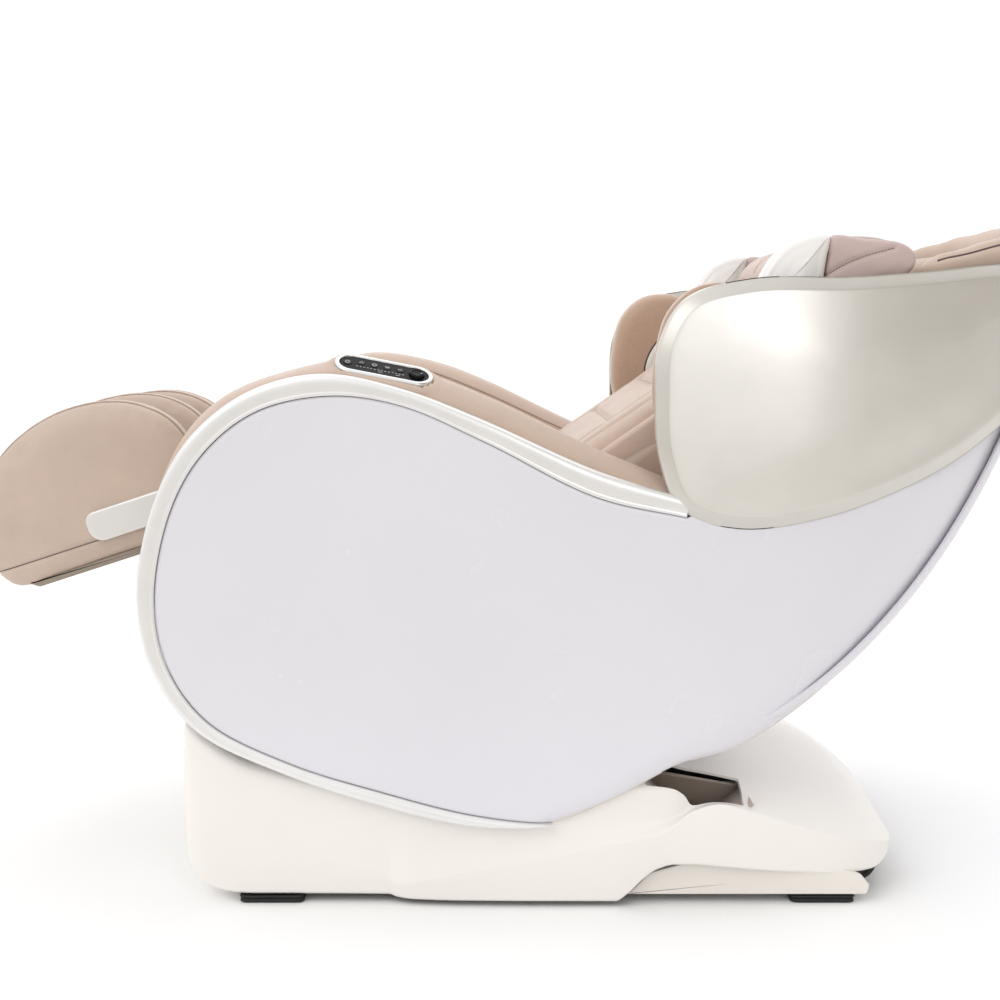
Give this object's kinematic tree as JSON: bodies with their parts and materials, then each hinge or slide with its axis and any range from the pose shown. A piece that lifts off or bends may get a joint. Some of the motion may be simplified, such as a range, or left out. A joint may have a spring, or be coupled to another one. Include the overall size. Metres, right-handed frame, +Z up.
{
  "type": "massage chair",
  "caption": "Reclined full-body massage chair with a one-piece side shell, shoulder wings, padded calf rest, tilting seat shell and a moulded floor base.",
  "frame": {"origin": "middle of the footprint, on the floor", "axes": "+X towards the head end, -Y towards the sitter's left, +Z up"},
  "size_m": [1.6805, 0.776, 1.0257],
  "materials": {
    "frame_paint": "satin",
    "base_shell": "gloss",
    "base_skirt": "matte",
    "foot_rubber": "matte",
    "wheel_rubber": "matte",
    "dark_plastic": "matte",
    "inlet": "matte",
    "side_panel": "gloss",
    "trim": "satin metallic paint",
    "arm_leather": "soft",
    "wing": "pearl metallic paint",
    "wing_lining": "soft sheen",
    "pod_white": "gloss",
    "pod_leather": "soft",
    "belly": "gloss",
    "back_shell": "gloss",
    "seat_leather": "soft",
    "pillow_leather": "soft",
    "shaft": "machined",
    "massage_wheel": "matte",
    "bezel": "satin chrome",
    "panel_black": "gloss",
    "key": "gloss",
    "calf_arm": "satin",
    "calf_leather": "soft",
    "calf_lining": "soft knit",
    "calf_base": "matte"
  },
  "bodies": {
    "base": {"base_frame": "frame_paint", "base_cover": "base_shell", "base_skirt_left": "base_skirt", "base_skirt_right": "base_skirt", "front_foot_left": "foot_rubber", "front_foot_right": "foot_rubber", "rear_foot_left": "foot_rubber", "rear_foot_right": "foot_rubber", "power_supply": "dark_plastic", "power_inlet": "inlet"},
    "wheel_left": {"transport_wheel_left": "wheel_rubber"},
    "wheel_right": {"transport_wheel_right": "wheel_rubber"},
    "seat_shell": {"side_panel_left": "side_panel", "side_panel_right": "side_panel", "side_trim_left": "trim", "side_trim_right": "trim", "armrest_left": "arm_leather", "armrest_right": "arm_leather", "wing_shell_left": "wing", "wing_shell_right": "wing", "wing_pad_left": "wing_lining", "wing_pad_right": "wing_lining", "pod_cap_left": "pod_white", "pod_cap_right": "pod_white", "pod_pad_left": "pod_leather", "pod_pad_right": "pod_leather", "belly_cover": "belly", "back_cover": "back_shell", "seat_frame": "frame_paint", "back_frame": "frame_paint", "seat_cushion": "seat_leather", "back_cushion": "seat_leather", "head_pillow": "pillow_leather", "head_bolster": "seat_leather", "air_pump": "dark_plastic", "control_box": "dark_plastic", "control_bezel": "bezel", "control_face": "panel_black"},
    "carriage": {"carriage_frame": "frame_paint"},
    "kneading_shaft": {"kneading_shaft": "shaft"},
    "massage_arm_left": {"massage_arm_left": "dark_plastic"},
    "massage_arm_right": {"massage_arm_right": "dark_plastic"},
    "upper_wheel_left": {"massage_wheel_upper_left": "massage_wheel"},
    "upper_wheel_right": {"massage_wheel_upper_right": "massage_wheel"},
    "lower_wheel_left": {"massage_wheel_lower_left": "massage_wheel"},
    "lower_wheel_right": {"massage_wheel_lower_right": "massage_wheel"},
    "calf_lift": {"calf_cross_tube": "frame_paint", "calf_arm_left": "calf_arm", "calf_arm_right": "calf_arm"},
    "calf_rest": {"calf_wall_left": "calf_leather", "calf_wall_right": "calf_leather", "calf_divider": "calf_leather", "calf_bed": "calf_lining", "calf_tray": "calf_base"},
    "power_key": {"power_key": "key"},
    "jog_knob": {"jog_knob": "panel_black"},
    "mode_key_1": {"mode_key_1": "key"},
    "mode_key_2": {"mode_key_2": "key"},
    "mode_key_3": {"mode_key_3": "key"},
    "mode_key_4": {"mode_key_4": "key"}
  },
  "joints": [
    {"name": "seat_tilt", "type": "hinge", "parent": "base", "child": "seat_shell", "pos_m": [-0.2917, 0, 0.462], "axis": [0, -1, 0], "range_deg": [0, 16]},
    {"name": "calf_swing", "type": "hinge", "parent": "seat_shell", "child": "calf_lift", "pos_m": [-0.4417, 0, 0.622], "axis": [0, -1, 0], "range_deg": [-10, 38]},
    {"name": "calf_extension", "type": "slide", "parent": "calf_lift", "child": "calf_rest", "axis": [-0.9511, 0, -0.309], "range_m": [0, 0.08]},
    {"name": "carriage_travel", "type": "slide", "parent": "seat_shell", "child": "carriage", "axis": [0.8028, 0, 0.5962], "range_m": [-0.19, 0.1]},
    {"name": "kneading_drive", "type": "hinge", "parent": "carriage", "child": "kneading_shaft", "pos_m": [0.35349, 0, 0.65583], "axis": [0, 1, 0], "continuous": true},
    {"name": "massage_arm_left_swing", "type": "hinge", "parent": "carriage", "child": "massage_arm_left", "pos_m": [0.35349, -0.092, 0.65583], "axis": [0, 1, 0], "range_deg": [-10, 10]},
    {"name": "massage_arm_right_swing", "type": "hinge", "parent": "carriage", "child": "massage_arm_right", "pos_m": [0.35349, 0.092, 0.65583], "axis": [0, 1, 0], "range_deg": [-10, 10]},
    {"name": "upper_wheel_left_spin", "type": "hinge", "parent": "massage_arm_left", "child": "upper_wheel_left", "pos_m": [0.38905, -0.113, 0.73207], "axis": [0, 1, 0], "continuous": true},
    {"name": "upper_wheel_right_spin", "type": "hinge", "parent": "massage_arm_right", "child": "upper_wheel_right", "pos_m": [0.38905, 0.113, 0.73207], "axis": [0, 1, 0], "continuous": true},
    {"name": "lower_wheel_left_spin", "type": "hinge", "parent": "massage_arm_left", "child": "lower_wheel_left", "pos_m": [0.27023, -0.113, 0.64383], "axis": [0, 1, 0], "continuous": true},
    {"name": "lower_wheel_right_spin", "type": "hinge", "parent": "massage_arm_right", "child": "lower_wheel_right", "pos_m": [0.27023, 0.113, 0.64383], "axis": [0, 1, 0], "continuous": true},
    {"name": "transport_wheel_left_spin", "type": "hinge", "parent": "base", "child": "wheel_left", "pos_m": [0.5383, -0.262, 0.036], "axis": [0, 1, 0], "continuous": true},
    {"name": "transport_wheel_right_spin", "type": "hinge", "parent": "base", "child": "wheel_right", "pos_m": [0.5383, 0.262, 0.036], "axis": [0, 1, 0], "continuous": true},
    {"name": "power_key_press", "type": "slide", "parent": "seat_shell", "child": "power_key", "axis": [-0.1685, 0.4695, -0.8667], "range_m": [0, 0.0012], "stiffness_N_per_m": 600},
    {"name": "mode_key_1_press", "type": "slide", "parent": "seat_shell", "child": "mode_key_1", "axis": [-0.1685, 0.4695, -0.8667], "range_m": [0, 0.0012], "stiffness_N_per_m": 600},
    {"name": "mode_key_2_press", "type": "slide", "parent": "seat_shell", "child": "mode_key_2", "axis": [-0.1685, 0.4695, -0.8667], "range_m": [0, 0.0012], "stiffness_N_per_m": 600},
    {"name": "mode_key_3_press", "type": "slide", "parent": "seat_shell", "child": "mode_key_3", "axis": [-0.1685, 0.4695, -0.8667], "range_m": [0, 0.0012], "stiffness_N_per_m": 600},
    {"name": "mode_key_4_press", "type": "slide", "parent": "seat_shell", "child": "mode_key_4", "axis": [-0.1685, 0.4695, -0.8667], "range_m": [0, 0.0012], "stiffness_N_per_m": 600},
    {"name": "jog_knob_turn", "type": "hinge", "parent": "seat_shell", "child": "jog_knob", "pos_m": [-0.14158, -0.333, 0.78984], "axis": [0.1685, -0.4695, 0.8667], "continuous": true}
  ],
  "couplings": [
    {"joint": "massage_arm_right_swing", "follows": "massage_arm_left_swing", "ratio": -1}
  ]
}
